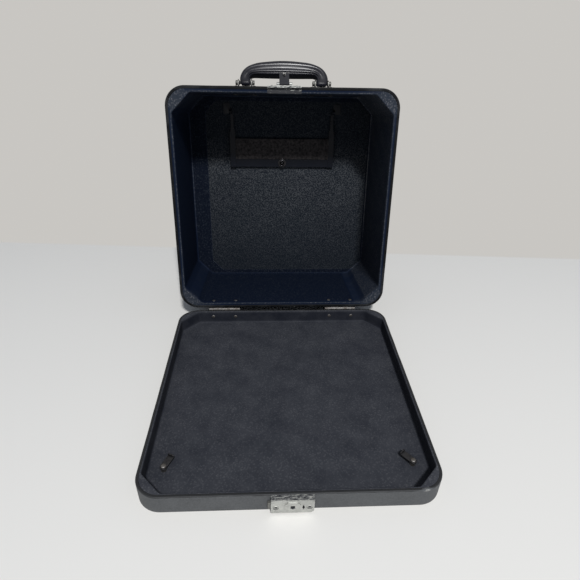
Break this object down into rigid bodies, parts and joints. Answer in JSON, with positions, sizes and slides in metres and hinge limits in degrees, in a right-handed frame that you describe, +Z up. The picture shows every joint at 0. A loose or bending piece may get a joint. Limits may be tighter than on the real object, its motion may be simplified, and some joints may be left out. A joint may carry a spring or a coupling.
{
  "type": "portable typewriter case",
  "caption": "Rigid carrying case, open, with a hinged deep lid, top handle, hasp and sliding lock, a shallow tray with hold-down clips, and a swinging paper holder inside the lid.",
  "frame": {"origin": "centre of the tray's underside, on the table", "axes": "+Z up out of the tray, +X to the right of someone who faces the lock, +Y towards the hinges"},
  "size_m": [0.33, 0.5498, 0.3809],
  "materials": {
    "leatherette": "fine-grained black leatherette, worn at the edges",
    "plywood": "plain plywood, hidden by the covering",
    "lining_paper": "dark blue-grey cloth and paper lining",
    "panel_cloth": "speckled dark grey cloth",
    "handle_plastic": "black moulded plastic, softly polished by use",
    "steel": "plain steel",
    "nickel": "nickel plate, dulled and spotted",
    "fibre_board": "mottled brown-black fibre board",
    "snap_chrome": "bright chrome plate",
    "black_enamel": "glossy black enamel"
  },
  "bodies": {
    "base": {"base_board": "plywood", "base_bottom_sheet": "leatherette", "base_cover": "leatherette", "base_hinge_leaf_left": "nickel", "base_hinge_leaf_right": "nickel", "base_hinge_rivets": "nickel", "base_lining": "lining_paper", "base_post_front_left": "plywood", "base_post_front_right": "plywood", "base_post_rear_left": "plywood", "base_post_rear_right": "plywood", "base_rail_front": "plywood", "base_rail_left": "plywood", "base_rail_rear": "plywood", "base_rail_right": "plywood", "hinge_pin_left": "steel", "hinge_pin_right": "steel", "hold_down_screws": "nickel", "lock_back": "nickel", "lock_face": "nickel", "lock_rivets": "nickel", "lock_spring": "steel"},
    "lid": {"handle_backing_plates": "nickel", "handle_clevis_left": "nickel", "handle_clevis_right": "nickel", "handle_pins": "nickel", "hasp_pin": "steel", "holder_brackets": "black_enamel", "holder_pins": "black_enamel", "lid_cover": "leatherette", "lid_hinge_leaf_left": "nickel", "lid_hinge_leaf_right": "nickel", "lid_panel": "plywood", "lid_panel_lining": "panel_cloth", "lid_post_front_left": "plywood", "lid_post_front_right": "plywood", "lid_post_rear_left": "plywood", "lid_post_rear_right": "plywood", "lid_rivets": "nickel", "lid_wall_front": "plywood", "lid_wall_left": "plywood", "lid_wall_lining": "lining_paper", "lid_wall_rear": "plywood", "lid_wall_right": "plywood", "snap_stud": "snap_chrome", "strike_plate": "nickel"},
    "hasp": {"hasp": "nickel"},
    "handle": {"handle_core": "steel", "handle_grip": "handle_plastic"},
    "paper_holder": {"holder_arm_left": "black_enamel", "holder_arm_right": "black_enamel", "holder_bar": "black_enamel", "holder_board": "fibre_board", "snap_cap": "snap_chrome"},
    "lock_bolt": {"lock_bolt": "nickel"},
    "key": {"key_barrel": "nickel"},
    "clip_left": {"hold_down_clip_left": "nickel"},
    "clip_right": {"hold_down_clip_right": "nickel"}
  },
  "joints": [
    {"name": "lid_hinge", "type": "hinge", "parent": "base", "child": "lid", "pos_m": [0, 0.1685, 0.0255], "axis": [1, 0, 0], "range_deg": [0, 100.59]},
    {"name": "hasp_swing", "type": "hinge", "parent": "lid", "child": "hasp", "pos_m": [0.0006, 0.23384, 0.35714], "axis": [1, 0, 0], "range_deg": [-20, 122]},
    {"name": "handle_swing", "type": "hinge", "parent": "lid", "child": "handle", "pos_m": [0.0006, 0.27431, 0.35212], "axis": [1, 0, 0], "range_deg": [-52, 55]},
    {"name": "holder_swing", "type": "hinge", "parent": "lid", "child": "paper_holder", "pos_m": [0.002, 0.35965, 0.29599], "axis": [1, 0, 0], "range_deg": [-90, 0]},
    {"name": "lock_slide", "type": "slide", "parent": "base", "child": "lock_bolt", "axis": [1, 0, 0], "range_m": [0, 0.003], "stiffness_N_per_m": 300, "springref_m": -0.003, "deforming": ["lock_spring"]},
    {"name": "key_turn", "type": "hinge", "parent": "base", "child": "key", "pos_m": [0.0118, -0.169, 0.012], "axis": [0, 1, 0], "range_deg": [-90, 0]},
    {"name": "clip_left_swivel", "type": "hinge", "parent": "base", "child": "clip_left", "pos_m": [-0.1415, -0.1185, 0.0107], "axis": [0, 0, 1], "range_deg": [-66, 24]},
    {"name": "clip_right_swivel", "type": "hinge", "parent": "base", "child": "clip_right", "pos_m": [0.1415, -0.1185, 0.0107], "axis": [0, 0, 1], "range_deg": [-40, 50]}
  ]
}
